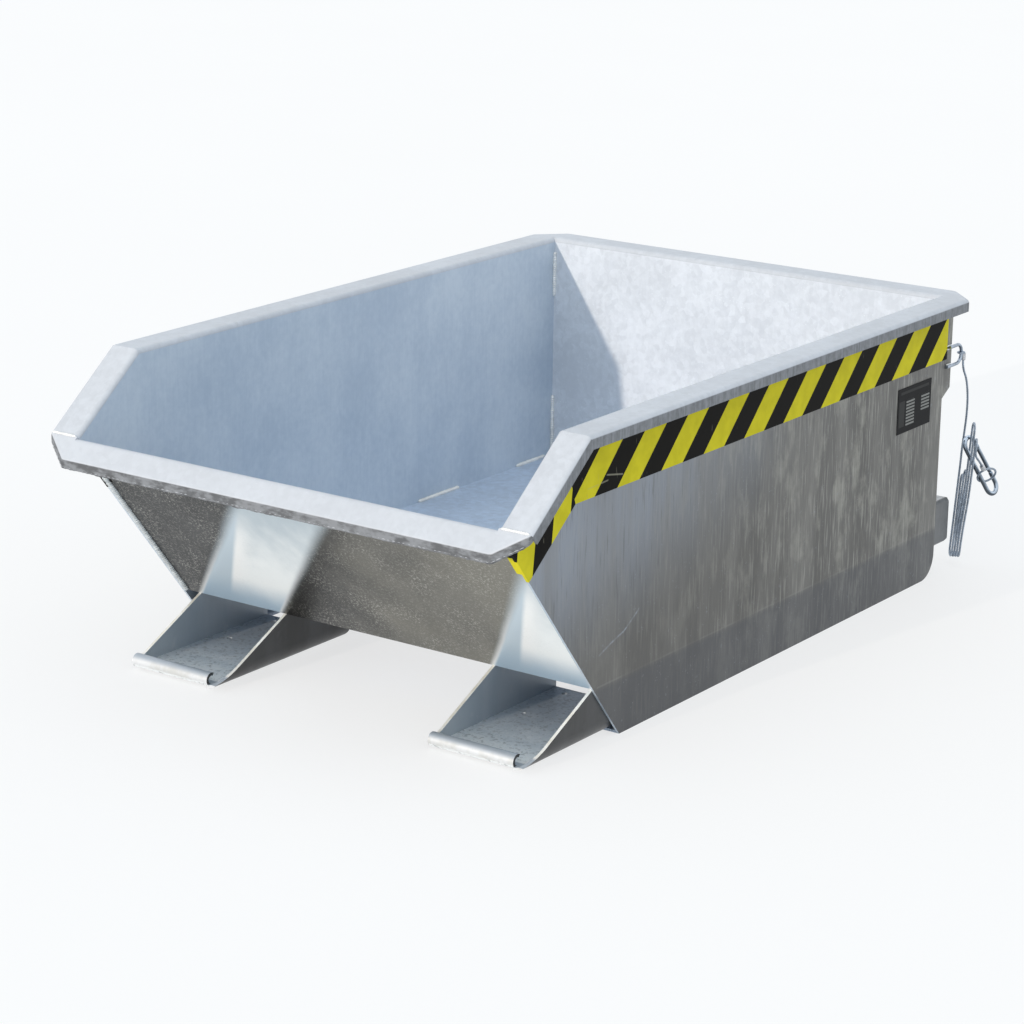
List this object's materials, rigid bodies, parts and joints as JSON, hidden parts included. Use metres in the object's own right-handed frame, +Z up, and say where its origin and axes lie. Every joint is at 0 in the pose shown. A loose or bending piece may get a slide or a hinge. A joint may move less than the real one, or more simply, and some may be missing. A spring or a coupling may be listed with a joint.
{
  "type": "fork-truck tipping skip",
  "caption": "Low galvanised steel skip with a sloping front, rolled rims, fork shoes under the front and a securing rope with a snap hook at the rear.",
  "frame": {"origin": "on the ground under the middle of the skip's box, without the rope", "axes": "+X to the right seen from the front lip, +Y from the front lip to the rear wall, +Z up"},
  "size_m": [0.904, 1.4822, 0.504],
  "materials": {
    "galvanised": "hot-dip zinc",
    "rope": "zinc-coated wire",
    "ferrule": "pressed",
    "hook": "bright zinc",
    "hazard_tape": "yellow and black film",
    "plate": "satin black"
  },
  "bodies": {
    "root": {"floor_sheet": "galvanised", "front_wall": "galvanised", "rear_wall": "galvanised", "side_plate_right": "galvanised", "side_plate_left": "galvanised", "skid_strip_right": "galvanised", "skid_strip_left": "galvanised", "side_rim_right_level": "galvanised", "side_rim_left_level": "galvanised", "side_rim_right_slope": "galvanised", "side_rim_left_slope": "galvanised", "rear_rim": "galvanised", "front_lip": "galvanised", "rear_tube": "galvanised", "tube_cap_right": "galvanised", "tube_cap_left": "galvanised", "shoe_pan_right": "galvanised", "shoe_pan_left": "galvanised", "shoe_cheek_right": "galvanised", "shoe_cheek_left": "galvanised", "rope_bar_eye": "galvanised", "rope_top_eye": "rope", "rope_lead": "rope", "rope_hank": "rope", "rope_tail": "rope", "rope_end_eye": "rope", "rope_top_ferrule": "ferrule", "rope_end_ferrule": "ferrule", "snap_hook_body": "hook", "gate_rivet": "hook", "hazard_tape_right": "hazard_tape", "hazard_tape_left": "hazard_tape", "rating_plate": "plate"},
    "hook_gate": {"snap_hook_gate": "hook"}
  },
  "joints": [
    {"name": "gate_hinge", "type": "hinge", "parent": "root", "child": "hook_gate", "pos_m": [0.42777, 0.77649, 0.16478], "axis": [0.9185, -0.1358, 0.3714], "range_deg": [0, 18], "stiffness_Nm_per_rad": 0.02, "springref_deg": -9.74}
  ]
}
